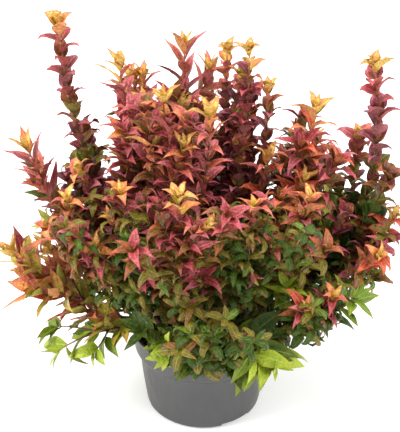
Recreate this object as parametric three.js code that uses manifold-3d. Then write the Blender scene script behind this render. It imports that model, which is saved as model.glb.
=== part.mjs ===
// A coast leucothoe in its nursery pot: a many-stemmed evergreen shrub with curled red and green leaves.
// Millimetres, +Z up. The origin is the centre of the pot's flat underside, where it stands on the ground.
// The front of the plant faces -Y, with +X to its right. A bearing is measured in the XY plane from +X, so
// -90 degrees points to the front.
import * as THREE from "three";
import Module from "manifold-3d";
import { mergeVertices } from "three/addons/utils/BufferGeometryUtils.js";

const wasm = await Module();
wasm.setup();

// The pot: an injection-moulded container with a slightly bellied wall, a flared collar and a rolled lip.
const POT_HEIGHT = 140;
const POT_FOOT_RADIUS = 88;
const POT_HEEL = 5;
const POT_WAIST_RADIUS = 91.5;
const POT_BELLY_RADIUS = 97.5;
const POT_BELLY_HEIGHT = 56.4;
const POT_SHOULDER_RADIUS = 100.5;
const POT_SHOULDER_HEIGHT = 94;
const POT_COLLAR_RADIUS = 109;
const POT_COLLAR_HEIGHT = 107;
const POT_COLLAR_SLOPE = 0.03;
const POT_LIP_RADIUS = 112;
const POT_LIP_DEPTH = 5;
const POT_LIP_ROUND = 1;
const POT_LIP_CHAMFER = 1.5;
const POT_WALL = 2.2;
const POT_FLOOR = 3;
const POT_SIDES = 32;
const NOTCH_COUNT = 3;
const NOTCH_BEARING = -54.5;
const NOTCH_SPAN = 33;
const NOTCH_HEIGHT = 6.5;
const NOTCH_DEPTH = 9;
const DRAIN_RADIUS = 4;

// The potting soil fills the pot to below its lip.
const CLEARANCE = 0.3;
const SOIL_LEVEL = POT_HEIGHT - 20;

// The canes rise from the soil, stand apart at their feet and splay out like the ribs of a fan.
const FOOT_SPREAD = 62;
const FOOT_SPACING = 15;
const FOOT_LIMIT = 74;
const FOOT_ROUNDS = 60;
const LONGEST_REACH = 300;
const CANE_FOOT_RADIUS = 3.4;
const CANE_END_RADIUS = 2.6;
const CANE_FLARE = 1.9;
const CANE_FLARE_SHARE = 0.12;
const CANE_SIDES = 5;
const CANE_STEPS = 3;
const DROOP_RISE = 62;
const RING_SEED = 702;
const RING_SIDE = 80;

// Each mass of foliage is one leader with side shoots. Its twigs are three-sided and taper to the tip.
const TWIG_SIDES = 3;
const TWIG_STEP = 75;
const LEADER_RADIUS = 2.5;
const SIDE_RADIUS = 2.1;
const TWIG_TIP_RADIUS = 1.4;
const TIP_INSET = 14;
const SIDE_SPREAD_JITTER = 16;
const SIDE_DROP_JITTER = 22;
const SIDES_PER_LEADER = 2;
const SIDE_FORK_STEP = 0.1;
const SIDE_FORK_JITTER = 0.05;
const SIDE_MIDDLE = 0.48;
const SIDE_BULGE = 0.14;
const SHOOT_REACH = 270;
const TWIG_GAP = 1.5;
const SHOOT_SEED = 11;
const SHOOT_SEED_STEP = 17;

// Leaves: larger than life, because each stands for two or three of the real ones. Edges shorter than the shortest
// here are closed up where a mass's pieces are joined.
const GOLDEN_ANGLE = 137.508;
const LEAF_SPACING = 17;
const LEAF_THINNING = 2.6;
const LEAF_LIMIT = 408;
const LEAVES_PER_SHOOT = 12;
const LEAF_TURNS = [0, 50, -50, 100, -100];
const LEAF_THICKNESS = 1.4;
const LEAF_WIDEST = 0.42;
const LEAF_GAP = 0.45;
const SHORTEST_EDGE = 0.01;
const LEAF_ROOT = 0.5;
const LEAF_LIFT = 0.16;
const LEAF_DRAW_BACK = 0.35;
const LEAF_GROWTH = 5;
const LEAF_YOUNG_SIZE = 0.58;
const LEAF_YOUNG_CURL = 0.5;

// How each habit grows: where on the cane its foliage begins, where its side shoots leave the leader, how far they
// spread from it and end below its tip, how far the cane bows out and rises, and its leaves' size, set in degrees
// at the tip and further down, and curl.
const HABITS = {
  whip: {
    bare: 0.24, fork: 0.34, spread: 66, drop: 150, bow: 0.98, rise: 0.46,
    leaf: [54, 34], open: [24, 56], curl: 0.42,
  },
  curled: {
    bare: 0.28, fork: 0.4, spread: 72, drop: 45, bow: 0.8, rise: 0.46,
    leaf: [68, 44], open: [26, 64], curl: 0.4,
  },
  slender: {
    bare: 0.26, fork: 0.4, spread: 52, drop: 84, bow: 0.8, rise: 0.46,
    leaf: [66, 28], open: [20, 46], curl: 0.22,
  },
  straight: {
    bare: 0.28, fork: 0.42, spread: 74, drop: 40, bow: 0.6, rise: 0.58,
    leaf: [78, 36], open: [24, 58], curl: 0.14,
  },
  drooping: {
    bare: 0.3, fork: 0.5, spread: 60, drop: -18, bow: 0.5, rise: 1.5,
    leaf: [70, 34], open: [35, 66], curl: 0.16,
  },
};

// The canes that stand out: the bearing, reach and height of each one's tip, its habit, the bearing round that tip
// of its first side shoot, and what it does in its own way.
const FRONT_CANES = [
  ["left_whip", 171, 204, 634, "whip", 290, { drop: 205, spread: 46 }],
  ["centre_whip", 31, 74, 592, "whip", -15, { drop: 44, spread: 21, bow: 1.15 }],
  ["right_whip", 6, 236, 577, "whip", -42, { drop: 150, spread: 34, bow: 1.43, rise: 0.3 }],
  ["crown_left", 107, 100, 575, "slender", 250, {}],
  ["crown_right", 67, 87, 577, "whip", 215, { drop: 72, spread: 32 }],
  ["crown_edge", 142, 113, 537, "curled", -20, {}],
  ["left_shoulder", 170, 121, 576, "curled", -60, {}],
  ["right_shoulder", 5, 162, 512, "curled", 190, { spread: 50, drop: 64 }],
  ["left_flank", 179, 256, 448, "straight", 300, { bow: 0.82, spread: 34, drop: 58 }],
  ["heart", -141, 71, 551, "curled", -20, { drop: 20, spread: 50 }],
  ["front_leader", -102, 158, 456, "curled", 215, {}],
  ["front_right", -62, 146, 428, "curled", -20, {}],
  ["front_left", -140, 150, 432, "curled", 190, {}],
  ["left_front_flank", -163, 205, 401, "curled", 178, { spread: 44, drop: 60 }],
  ["right_front_flank", -25, 165, 410, "curled", -70, {}],
  ["right_edge", -2, 284, 346, "curled", -100, {}],
  ["left_edge", -176, 292, 283, "straight", 60, { bow: 0.75, bare: 0.16, drop: 24 }],
  ["right_skirt", -35, 226, 278, "curled", 20, { drop: 0, spread: 56, bare: 0.2 }],
  ["front_skirt", -88, 200, 258, "curled", 200, { drop: 0, spread: 56 }],
  ["left_spray", -163, 240, 127, "drooping", -30, { rise: 1.1, spread: 52, bare: 0.2 }],
  ["rim_spray_left", -110, 158, 190, "drooping", -30, { spread: 50, drop: 0 }],
  ["rim_spray_right", -65, 184, 186, "drooping", 30, { spread: 32, drop: 4 }],
];

// The canes behind, in rings that keep the crown full from every side.
const BACK_RINGS = [
  { name: "back_shoulder", count: 3, from: 36, to: 146, reach: 218, height: 412, habit: "curled" },
  { name: "back_skirt", count: 4, from: 26, to: 156, reach: 276, height: 262, habit: "straight" },
];
const RING_JITTER = { bearing: 7, reach: 14, height: 24 };

const material = (color, roughness) => new THREE.MeshStandardMaterial({ color, roughness, metalness: 0 });
const potPlastic = material("#5d5c5e", 0.5);
const pottingSoil = material("#3a2c20", 1);
const caneBark = material("#6b4a3a", 0.8);
const leafColour = {
  whip: material("#7d2b38", 0.55),
  curled: material("#9a3a3c", 0.55),
  slender: material("#8c3434", 0.55),
  straight: material("#7f9a35", 0.5),
  drooping: material("#7fa82e", 0.5),
};

const radians = THREE.MathUtils.degToRad;
const mix = THREE.MathUtils.lerp;

// A small repeatable generator: the same seed always gives the same run of numbers between 0 and 1.
function seeded(seed) {
  let state = seed >>> 0;
  return () => {
    state = (state + 0x6d2b79f5) >>> 0;
    let t = Math.imul(state ^ (state >>> 15), state | 1);
    t ^= t + Math.imul(t ^ (t >>> 7), t | 61);
    return ((t ^ (t >>> 14)) >>> 0) / 4294967296;
  };
}

// A closed geometry as a solid that can be cut and joined.
function solidOf(geometry) {
  const plain = geometry.index ? geometry.toNonIndexed() : geometry.clone();
  plain.deleteAttribute("normal");
  plain.deleteAttribute("uv");
  const merged = mergeVertices(plain, 1e-4);
  return new wasm.Manifold(
    new wasm.Mesh({
      numProp: 3,
      vertProperties: merged.attributes.position.array,
      triVerts: new Uint32Array(merged.index.array),
    }),
  );
}

function meshOf(solid, name, look) {
  const { vertProperties, triVerts } = solid.getMesh();
  const geometry = new THREE.BufferGeometry();
  geometry.setAttribute("position", new THREE.BufferAttribute(vertProperties, 3));
  geometry.setIndex(new THREE.BufferAttribute(triVerts, 1));
  geometry.computeVertexNormals();
  const mesh = new THREE.Mesh(geometry, look);
  mesh.name = name;
  return mesh;
}

// A turned solid about the Z axis, from [radius, height] pairs that start and end on it.
function turned(profile, sides) {
  const points = profile.map(([r, z]) => new THREE.Vector2(r, z));
  return solidOf(new THREE.LatheGeometry(points, sides).rotateX(Math.PI / 2));
}

// The outside of the pot, drawn in by inset, from its underside at floor up to top.
function potProfile(inset, floor, top) {
  return [
    [0, floor],
    [POT_FOOT_RADIUS - inset, floor],
    [POT_WAIST_RADIUS - inset, floor + POT_HEEL],
    [POT_BELLY_RADIUS - inset, POT_BELLY_HEIGHT],
    [POT_SHOULDER_RADIUS - inset, POT_SHOULDER_HEIGHT],
    [POT_COLLAR_RADIUS - inset, POT_COLLAR_HEIGHT],
    [POT_COLLAR_RADIUS + (top - POT_COLLAR_HEIGHT) * POT_COLLAR_SLOPE - inset, top],
    [0, top],
  ];
}

// One drainage notch: a shallow recess in the heel of the pot, grown outwards by margin.
function notch(index, margin) {
  const width = 2 * POT_WAIST_RADIUS * Math.sin(radians(NOTCH_SPAN / 2)) + 2 * margin;
  const height = 2 * (NOTCH_HEIGHT + margin);
  const depth = 2 * (NOTCH_DEPTH + margin);
  const bearing = radians(NOTCH_BEARING + (index * 360) / NOTCH_COUNT);
  const box = new THREE.BoxGeometry(depth, width, height);
  box.translate(POT_WAIST_RADIUS, 0, 0);
  return solidOf(box.rotateZ(bearing));
}

function drain(index) {
  const bearing = radians(NOTCH_BEARING + (index * 360) / NOTCH_COUNT);
  const hole = new THREE.CylinderGeometry(DRAIN_RADIUS, DRAIN_RADIUS, 4 * NOTCH_HEIGHT, 12).rotateX(Math.PI / 2);
  hole.translate(POT_WAIST_RADIUS - NOTCH_DEPTH / 2, 0, 0);
  return solidOf(hole.rotateZ(bearing));
}

function makePot() {
  const lip = [
    [0, POT_HEIGHT - POT_LIP_DEPTH],
    [POT_LIP_RADIUS - POT_LIP_ROUND, POT_HEIGHT - POT_LIP_DEPTH],
    [POT_LIP_RADIUS, POT_HEIGHT - POT_LIP_DEPTH + POT_LIP_CHAMFER],
    [POT_LIP_RADIUS, POT_HEIGHT - POT_LIP_ROUND],
    [POT_LIP_RADIUS - POT_LIP_ROUND, POT_HEIGHT],
    [0, POT_HEIGHT],
  ];
  let outside = turned(potProfile(0, 0, POT_HEIGHT - 1), POT_SIDES).add(turned(lip, POT_SIDES));
  let inside = turned(potProfile(POT_WALL, POT_FLOOR, POT_HEIGHT + 1), POT_SIDES);
  for (let i = 0; i < NOTCH_COUNT; i++) {
    outside = outside.subtract(notch(i, 0));
    inside = inside.subtract(notch(i, POT_WALL));
  }
  let pot = outside.subtract(inside);
  for (let i = 0; i < NOTCH_COUNT; i++) pot = pot.subtract(drain(i));
  return pot;
}

function makeSoil() {
  let soil = turned(potProfile(POT_WALL + CLEARANCE, POT_FLOOR + CLEARANCE, SOIL_LEVEL), POT_SIDES);
  for (let i = 0; i < NOTCH_COUNT; i++) soil = soil.subtract(notch(i, POT_WALL + CLEARANCE));
  return soil;
}

// Every cane's own figures, with the rings behind worked out from their first and last bearings.
function allCanes() {
  const canes = FRONT_CANES.map(([name, bearing, reach, height, habit, side, own]) => {
    return { name, bearing, reach, height, habit, side, grows: { ...HABITS[habit], ...own } };
  });
  BACK_RINGS.forEach((ring, ringIndex) => {
    const random = seeded(RING_SEED + ringIndex);
    for (let i = 0; i < ring.count; i++) {
      const share = i / (ring.count - 1);
      const bearing = mix(ring.from, ring.to, share) + RING_JITTER.bearing * (2 * random() - 1);
      canes.push({
        name: ring.name + "_" + (i + 1),
        bearing,
        reach: ring.reach + RING_JITTER.reach * (2 * random() - 1),
        height: ring.height + RING_JITTER.height * (2 * random() - 1),
        habit: ring.habit,
        side: bearing + RING_SIDE,
        grows: HABITS[ring.habit],
      });
    }
  });
  return canes;
}

// The feet start where each cane's line comes out of the soil and are then pushed apart to their spacing.
function settleFeet(canes) {
  const feet = canes.map(({ bearing, reach }) => {
    const out = FOOT_SPREAD * (reach / LONGEST_REACH);
    return new THREE.Vector2(out * Math.cos(radians(bearing)), out * Math.sin(radians(bearing)));
  });
  for (let round = 0; round < FOOT_ROUNDS; round++) {
    feet.forEach((a, i) =>
      feet.slice(i + 1).forEach((b) => {
        const apart = b.clone().sub(a);
        const short = FOOT_SPACING - apart.length();
        if (short > 0) {
          apart.setLength(short / 2);
          a.sub(apart);
          b.add(apart);
        }
      }),
    );
    feet.forEach((foot) => foot.clampLength(0, FOOT_LIMIT));
  }
  return feet;
}

// A cane and its leader share one line: a curve from the foot to the tip that bows outwards and then rises.
function caneLine(cane, foot) {
  const habit = cane.grows;
  const angle = radians(cane.bearing);
  const start = new THREE.Vector3(foot.x, foot.y, SOIL_LEVEL + CLEARANCE);
  const tip = new THREE.Vector3(cane.reach * Math.cos(angle), cane.reach * Math.sin(angle), cane.height);
  const middle = start.clone().lerp(tip, habit.bow);
  middle.z = cane.habit === "drooping" ? SOIL_LEVEL + DROOP_RISE * habit.rise : mix(start.z, tip.z, habit.rise);
  return new THREE.QuadraticBezierCurve3(start, middle, tip);
}

// Points along a curve between two shares of it, a step apart.
function pointsAlong(curve, from, to, steps) {
  return Array.from({ length: steps + 1 }, (_, i) => curve.getPoint(mix(from, to, i / steps)));
}

// A tapering limb along a flat curve, made by bending a cylinder so that each of its rings stands square to the
// curve. The radius is a function of the share of the way up.
function limb(curve, from, to, steps, radiusAt, sides) {
  const rod = new THREE.CylinderGeometry(1, 1, steps, sides, steps);
  const place = rod.attributes.position;
  const points = pointsAlong(curve, from, to, steps);
  const across = curve.getTangent(0).cross(curve.getTangent(1));
  if (across.length() < 1e-3) across.set(0.3, 0.2, 0.9).cross(curve.getTangent(0));
  across.normalize();
  for (let i = 0; i < place.count; i++) {
    const row = Math.round(place.getY(i) + steps / 2);
    const along = curve.getTangent(mix(from, to, row / steps));
    const beside = across.clone().cross(along).normalize();
    const radius = radiusAt(row / steps);
    const spot = points[row].clone();
    spot.addScaledVector(across, place.getX(i) * radius).addScaledVector(beside, place.getZ(i) * radius);
    place.setXYZ(i, spot.x, spot.y, spot.z);
  }
  return solidOf(rod);
}

// A bare cane, cut flat where it stands on the soil.
function makeCane(curve, bare) {
  const radiusAt = (share) => {
    const flare = CANE_FLARE * Math.max(0, 1 - share / CANE_FLARE_SHARE);
    return mix(CANE_FOOT_RADIUS, CANE_END_RADIUS, share) + flare;
  };
  return limb(curve, 0, bare, CANE_STEPS, radiusAt, CANE_SIDES).trimByPlane([0, 0, 1], SOIL_LEVEL + CLEARANCE);
}

// A shoot: its twig as a solid, and the run of points that its leaves sit on.
function makeShoot(curve, from, to, baseRadius, habit, phase) {
  const steps = Math.max(2, Math.round((curve.getLength() * (to - from)) / TWIG_STEP));
  const radiusAt = (share) => mix(baseRadius, TWIG_TIP_RADIUS, share);
  const twig = limb(curve, from, to, steps, radiusAt, TWIG_SIDES);
  return { twig, points: pointsAlong(curve, from, to, steps), habit, phase };
}

// The line of a side shoot, which leaves the leader at its fork and bows out to end beside the leader's tip.
function sideLine(leader, fork, bearing, spread, drop) {
  const root = leader.getPoint(fork);
  const away = new THREE.Vector3(Math.cos(radians(bearing)), Math.sin(radians(bearing)), 0);
  const end = leader.getPoint(1).addScaledVector(away, spread);
  const out = new THREE.Vector2(end.x, end.y).clampLength(0, SHOOT_REACH);
  end.set(out.x, out.y, end.z - drop);
  const length = end.distanceTo(root);
  const middle = root.clone().lerp(end, SIDE_MIDDLE).addScaledVector(away, SIDE_BULGE * length);
  return new THREE.QuadraticBezierCurve3(root, middle, end);
}

// The leader and the side shoots of one mass, in the order they grow.
function growShoots(cane, index, curve) {
  const habit = cane.grows;
  const random = seeded(SHOOT_SEED + SHOOT_SEED_STEP * index);
  const length = curve.getLength();
  const end = 1 - TIP_INSET / length;
  const start = habit.bare + CLEARANCE / length;
  const shoots = [makeShoot(curve, start, end, LEADER_RADIUS, cane.habit, 360 * random())];
  for (let i = 0; i < SIDES_PER_LEADER; i++) {
    const spread = habit.spread + SIDE_SPREAD_JITTER * (2 * random() - 1);
    const drop = habit.drop + SIDE_DROP_JITTER * (2 * random() - 1);
    const fork = habit.fork + SIDE_FORK_STEP * i + SIDE_FORK_JITTER * random();
    const line = sideLine(curve, fork, cane.side + i * GOLDEN_ANGLE, spread, drop);
    const share = 1 - TIP_INSET / line.getLength();
    shoots.push(makeShoot(line, 0, share, SIDE_RADIUS, cane.habit, 360 * random()));
  }
  return shoots;
}

// One leaf: an octahedron drawn out into a keeled blade, its root at the twig's axis, its edges lifted and its tip
// turned down by curl.
function leafSolid(root, along, up, length, width, curl) {
  const beside = up.clone().cross(along).normalize();
  const spot = (a, b, c) => root.clone().addScaledVector(along, a).addScaledVector(beside, b).addScaledVector(up, c);
  const widest = LEAF_WIDEST * length;
  const lift = LEAF_LIFT * width;
  const corners = [
    spot(-LEAF_ROOT, 0, 0),
    spot((1 - LEAF_DRAW_BACK * curl) * length, 0, -curl * length),
    spot(widest, width / 2, lift),
    spot(widest, -width / 2, lift),
    spot(widest, 0, LEAF_THICKNESS / 2),
    spot(widest, 0, -LEAF_THICKNESS / 2),
  ];
  const [base, tip, left, right, top, bottom] = [0, 1, 2, 3, 4, 5];
  const faces = [
    [base, top, left],
    [base, right, top],
    [tip, left, top],
    [tip, top, right],
    [base, left, bottom],
    [base, bottom, right],
    [tip, bottom, left],
    [tip, right, bottom],
  ];
  return new wasm.Manifold(
    new wasm.Mesh({
      numProp: 3,
      vertProperties: new Float32Array(corners.flatMap((p) => [p.x, p.y, p.z])),
      triVerts: new Uint32Array(faces.flat()),
    }),
  );
}

// The leaf at one place on a shoot, counted down from its tip and turned aside round the twig, or null below the
// shoot's foliage.
function leafAt(shoot, order, aside) {
  const { points, habit, phase } = shoot;
  const { leaf, open, curl } = HABITS[habit];
  const lengths = points.slice(1).map((p, i) => p.distanceTo(points[i]));
  const total = lengths.reduce((a, b) => a + b, 0);
  let place = total - 1 - order * (LEAF_SPACING + LEAF_THINNING * order);
  if (place < LEAF_SPACING) return null;
  let step = 0;
  while (place > lengths[step] && step < lengths.length - 1) place -= lengths[step++];
  const root = points[step].clone().lerp(points[step + 1], place / lengths[step]);
  const tangent = points[step + 1].clone().sub(points[step]).normalize();
  const turn = radians(phase + order * GOLDEN_ANGLE + aside);
  const side = new THREE.Vector3(Math.cos(turn), Math.sin(turn), 0);
  const out = side.sub(tangent.clone().multiplyScalar(side.dot(tangent))).normalize();
  const grown = Math.min(1, order / LEAF_GROWTH);
  const angle = radians(mix(open[0], open[1], grown));
  const along = tangent.clone().multiplyScalar(Math.cos(angle)).addScaledVector(out, Math.sin(angle));
  const up = tangent.clone().multiplyScalar(Math.sin(angle)).addScaledVector(out, -Math.cos(angle));
  const size = mix(LEAF_YOUNG_SIZE, 1, grown);
  return leafSolid(root, along, up, leaf[0] * size, leaf[1] * size, curl * mix(LEAF_YOUNG_CURL, 1, grown));
}

// A record of everything that has its place, so that what comes later can be kept clear of it.
class Neighbours {
  constructor() {
    this.taken = [];
  }
  add(solid, owner) {
    this.taken.push({ solid, owner, box: solid.boundingBox() });
  }
  crowds(solid, gap, ignore) {
    const box = solid.boundingBox();
    const near = (other) =>
      [0, 1, 2].every((k) => box.min[k] - gap < other.box.max[k] && box.max[k] + gap > other.box.min[k]);
    return this.taken.some(
      (other) => other.owner !== ignore && near(other) && solid.minGap(other.solid, 2 * gap) < gap,
    );
  }
}

const plant = new THREE.Group();
plant.name = "potted_coast_leucothoe";
const neighbours = new Neighbours();

const pot = makePot();
const soil = makeSoil();
plant.add(meshOf(pot, "pot", potPlastic), meshOf(soil, "potting_soil", pottingSoil));
neighbours.add(pot, "pot");
neighbours.add(soil, "potting_soil");

// Limbs first, so that all the foliage can keep clear of them.
const canes = allCanes();
const feet = settleFeet(canes);
const masses = canes.map((cane, index) => {
  const curve = caneLine(cane, feet[index]);
  const wood = makeCane(curve, cane.grows.bare);
  plant.add(meshOf(wood, "cane_" + cane.name, caneBark));
  neighbours.add(wood, "cane_" + cane.name);
  return { cane, index, curve, pieces: [], shoots: [] };
});

// Then the twigs: all the leaders, and after them the side shoots. One that would touch another mass or a limb is
// left out.
for (const mass of masses) mass.grown = growShoots(mass.cane, mass.index, mass.curve);
for (let order = 0; order <= SIDES_PER_LEADER; order++) {
  for (const mass of masses) {
    const shoot = mass.grown[order];
    shoot.owner = mass.cane.name + "_" + order;
    if (order > 0 && neighbours.crowds(shoot.twig, TWIG_GAP, mass.cane.name + "_0")) continue;
    neighbours.add(shoot.twig, shoot.owner);
    mass.shoots.push(shoot);
    mass.pieces.push(shoot.twig);
  }
}

// Then the leaves, from the tips of all the shoots downwards, so that the outside of the crown fills first. A leaf
// that would touch a limb or another mass is turned aside, and left out where that doesn't free it.
let leafCount = 0;
for (let order = 0; order < LEAVES_PER_SHOOT; order++) {
  for (const mass of masses) {
    for (const shoot of mass.shoots) {
      const tries = LEAF_TURNS.map((aside) => leafAt(shoot, order, aside)).filter(Boolean);
      const leaf = tries.find((solid) => !neighbours.crowds(solid, LEAF_GAP, shoot.owner));
      if (!leaf || leafCount >= LEAF_LIMIT) continue;
      neighbours.add(leaf, shoot.owner + "_leaf");
      mass.pieces.push(leaf);
      leafCount++;
    }
  }
}

// Each mass is joined into one body.
for (const mass of masses) {
  const joined = wasm.Manifold.union(mass.pieces).simplify(SHORTEST_EDGE);
  const parts = joined.decompose().sort((a, b) => b.volume() - a.volume());
  plant.add(meshOf(parts[0], "foliage_" + mass.cane.name, leafColour[mass.cane.habit]));
}

export default plant;
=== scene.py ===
# A coast leucothoe in its nursery pot: pot, soil, canes, twigs and leaves, in the order they are put
# together. Sizes are in millimetres until a mesh is made, and +Z is up. The front of the plant faces -Y.
import math

import bmesh
import bpy
import numpy as np
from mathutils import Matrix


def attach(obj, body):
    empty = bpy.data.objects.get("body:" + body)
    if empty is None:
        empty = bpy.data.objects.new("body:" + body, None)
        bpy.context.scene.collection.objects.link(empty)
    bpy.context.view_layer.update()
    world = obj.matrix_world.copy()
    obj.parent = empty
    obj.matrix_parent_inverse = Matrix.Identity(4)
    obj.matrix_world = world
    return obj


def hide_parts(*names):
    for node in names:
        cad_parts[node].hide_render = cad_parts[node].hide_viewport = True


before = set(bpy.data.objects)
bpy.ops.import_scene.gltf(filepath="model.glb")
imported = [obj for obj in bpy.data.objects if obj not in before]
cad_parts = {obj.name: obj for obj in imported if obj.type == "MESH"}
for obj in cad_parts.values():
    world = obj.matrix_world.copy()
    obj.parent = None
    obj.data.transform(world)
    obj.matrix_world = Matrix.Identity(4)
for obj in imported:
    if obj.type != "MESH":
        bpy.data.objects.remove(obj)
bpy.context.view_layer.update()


# The pot
# An injection-moulded container of satin dark grey plastic, open at the top: a flat floor, a rounded heel
# with drainage notches, a slightly bellied wall, a flared collar for grip, and a rolled lip.
MILLIMETRE = 0.001
POT_WALL = 2.2
POT_FLOOR = 3
POT_OUTSIDE = [
    (0, 0), (40, 0), (70, 0), (80, 0), (84.5, 0), (88, 1.0), (90.3, 3.2), (91.3, 6), (92.6, 16), (94.9, 34),
    (97.2, 54), (99.1, 74), (100.2, 88), (100.9, 95), (102.6, 98.6), (106.2, 102.4), (108.5, 106.2),
    (109.1, 112), (109.5, 122), (109.9, 131), (110.4, 134.4), (111.8, 135.4), (112.4, 137.2), (112.0, 139.2),
    (110.6, 140), (108.6, 139.8), (107.6, 138.4),
]
POT_INSIDE_FOOT = [(88.6, 5.6), (86.5, 3.4), (82, POT_FLOOR), (40, POT_FLOOR), (0, POT_FLOOR)]
INSIDE_FROM, INSIDE_TO = 8, 134
PROFILE_STEPS, BEARING_STEP = 3, 2.5
NOTCH_BEARINGS = (-54.5, 65.5, 185.5)
NOTCH_SPAN, NOTCH_EDGE = 33, 0.9
NOTCH_HEIGHT = 6.5
NOTCH_INNER_RADIUS, NOTCH_RUN = 82, 1.2


def grid_faces(rows, columns):
    """The corners of the four-sided faces between rings of points, one ring a row, whose last column joins
    the first."""
    r, c = np.arange(rows - 1)[:, None], np.arange(columns)[None, :]
    c2 = (c + 1) % columns
    corners = [r * columns + c, r * columns + c2, (r + 1) * columns + c2, (r + 1) * columns + c]
    return np.stack(corners, axis=-1).reshape(-1, 4)


def smooth_line(knots, steps):
    """Points on a Catmull-Rom curve through the knots, with so many steps between two of them: on each
    stretch the sum of four knots weighted by cubics."""
    k = np.asarray(knots, float)
    k = np.vstack([2 * k[0] - k[1], k, 2 * k[-1] - k[-2]])
    t = np.linspace(0, 1, steps, endpoint=False)[None, :, None]
    a, b, c, d = (k[i : len(k) - 3 + i][:, None, :] for i in range(4))
    line = 0.5 * (2 * b + (c - a) * t + (2 * a - 5 * b + 4 * c - d) * t**2 + (3 * b - a - 3 * c + d) * t**3)
    return np.vstack([line.reshape(-1, k.shape[1]), k[-2]])


def make_piece(name, points, faces, materials, zones=None, weld=0.0):
    """A smooth-shaded object at the origin from points in millimetres and four-cornered faces, with one
    material for each zone number. Points closer than weld are made one, which closes seams and poles."""
    mesh = bpy.data.meshes.new(name)
    mesh.from_pydata(np.asarray(points, float) * MILLIMETRE, [], faces)
    for material in materials:
        mesh.materials.append(material)
    if zones is not None:
        mesh.polygons.foreach_set("material_index", np.asarray(zones, np.int32))
    mesh.polygons.foreach_set("use_smooth", np.ones(len(mesh.polygons), bool))
    if weld:
        welded = bmesh.new()
        welded.from_mesh(mesh)
        bmesh.ops.remove_doubles(welded, verts=welded.verts, dist=weld * MILLIMETRE)
        bmesh.ops.dissolve_degenerate(welded, edges=welded.edges, dist=0.1 * weld * MILLIMETRE)
        welded.to_mesh(mesh)
        welded.free()
    mesh.update()
    piece = bpy.data.objects.new(name, mesh)
    bpy.context.scene.collection.objects.link(piece)
    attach(piece, "root")
    return piece


def new_material(name, colour, roughness):
    """A plain Principled material, with its node tree and shader for more to be added."""
    material = bpy.data.materials.new(name)
    material.use_nodes = True
    shader = material.node_tree.nodes["Principled BSDF"]
    shader.inputs["Base Color"].default_value = (*colour, 1)
    shader.inputs["Roughness"].default_value = roughness
    return material, material.node_tree, shader


# Most values of a noise pattern lie between these two.
NOISE_SPREAD = (0.3, 0.7)


def add_noise(tree, scale, detail=3.0, stretch=(1, 1, 1)):
    """A noise pattern on the piece's own object coordinates; scale counts its grains in one metre."""
    place = tree.nodes.new("ShaderNodeTexCoord")
    mapping = tree.nodes.new("ShaderNodeMapping")
    mapping.inputs["Scale"].default_value = stretch
    noise = tree.nodes.new("ShaderNodeTexNoise")
    noise.inputs["Scale"].default_value = scale
    noise.inputs["Detail"].default_value = detail
    tree.links.new(place.outputs["Object"], mapping.inputs["Vector"])
    tree.links.new(mapping.outputs["Vector"], noise.inputs["Vector"])
    return noise.outputs["Fac"]


def vary_colour(tree, shader, pattern, low, high):
    """The base colour runs from low to high as the pattern goes through its spread."""
    ramp = tree.nodes.new("ShaderNodeValToRGB")
    for end, place, colour in zip(ramp.color_ramp.elements, NOISE_SPREAD, (low, high)):
        end.position, end.color = place, (*colour, 1)
    tree.links.new(pattern, ramp.inputs["Fac"])
    tree.links.new(ramp.outputs["Color"], shader.inputs["Base Color"])


def vary_roughness(tree, shader, pattern, low, high):
    """The roughness runs from low to high as the pattern goes through its spread."""
    spread = tree.nodes.new("ShaderNodeMapRange")
    spread.inputs["From Min"].default_value, spread.inputs["From Max"].default_value = NOISE_SPREAD
    spread.inputs["To Min"].default_value, spread.inputs["To Max"].default_value = low, high
    tree.links.new(pattern, spread.inputs["Value"])
    tree.links.new(spread.outputs["Result"], shader.inputs["Roughness"])


def add_bump(tree, shader, pattern, depth, strength=1.0):
    """Relief from a pattern, with its depth in metres."""
    bump = tree.nodes.new("ShaderNodeBump")
    bump.inputs["Strength"].default_value = strength
    bump.inputs["Distance"].default_value = depth
    tree.links.new(pattern, bump.inputs["Height"])
    tree.links.new(bump.outputs["Normal"], shader.inputs["Normal"])


def near_notch(bearings):
    """1 within a notch's span of bearings and 0 outside it, with a straight slope at each edge."""
    off = [np.abs((bearings - b + 180) % 360 - 180) for b in NOTCH_BEARINGS]
    return np.clip((NOTCH_SPAN / 2 + NOTCH_EDGE / 2 - np.min(off, axis=0)) / NOTCH_EDGE, 0, 1)


outside = smooth_line(POT_OUTSIDE, PROFILE_STEPS)
inside = outside[(outside[:, 1] > INSIDE_FROM) & (outside[:, 1] < INSIDE_TO)][::-1] - (POT_WALL, 0)
inside = np.vstack([inside, smooth_line(POT_INSIDE_FOOT, PROFILE_STEPS)])
profile = np.vstack([outside, inside])
edges = [side * (NOTCH_SPAN / 2 + edge * NOTCH_EDGE / 2) for side in (-1, 1) for edge in (-1, 1)]
edges = np.add.outer(NOTCH_BEARINGS, edges).ravel() % 360
bearings = np.unique(np.round(np.concatenate([np.arange(0, 360, BEARING_STEP), edges]), 3))
radius = np.broadcast_to(profile[:, :1], (len(profile), len(bearings))).copy()
height = np.broadcast_to(profile[:, 1:], radius.shape).copy()
notched = near_notch(bearings)[None, :] * np.clip((radius - NOTCH_INNER_RADIUS) / NOTCH_RUN, 0, 1)
inner = (np.arange(len(profile)) >= len(outside))[:, None]
height = np.maximum(height, (NOTCH_HEIGHT + POT_WALL * inner) * notched)
turn = np.radians(bearings)[None, :]
pot_points = np.stack([radius * np.cos(turn), radius * np.sin(turn), height], axis=-1).reshape(-1, 3)

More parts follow.
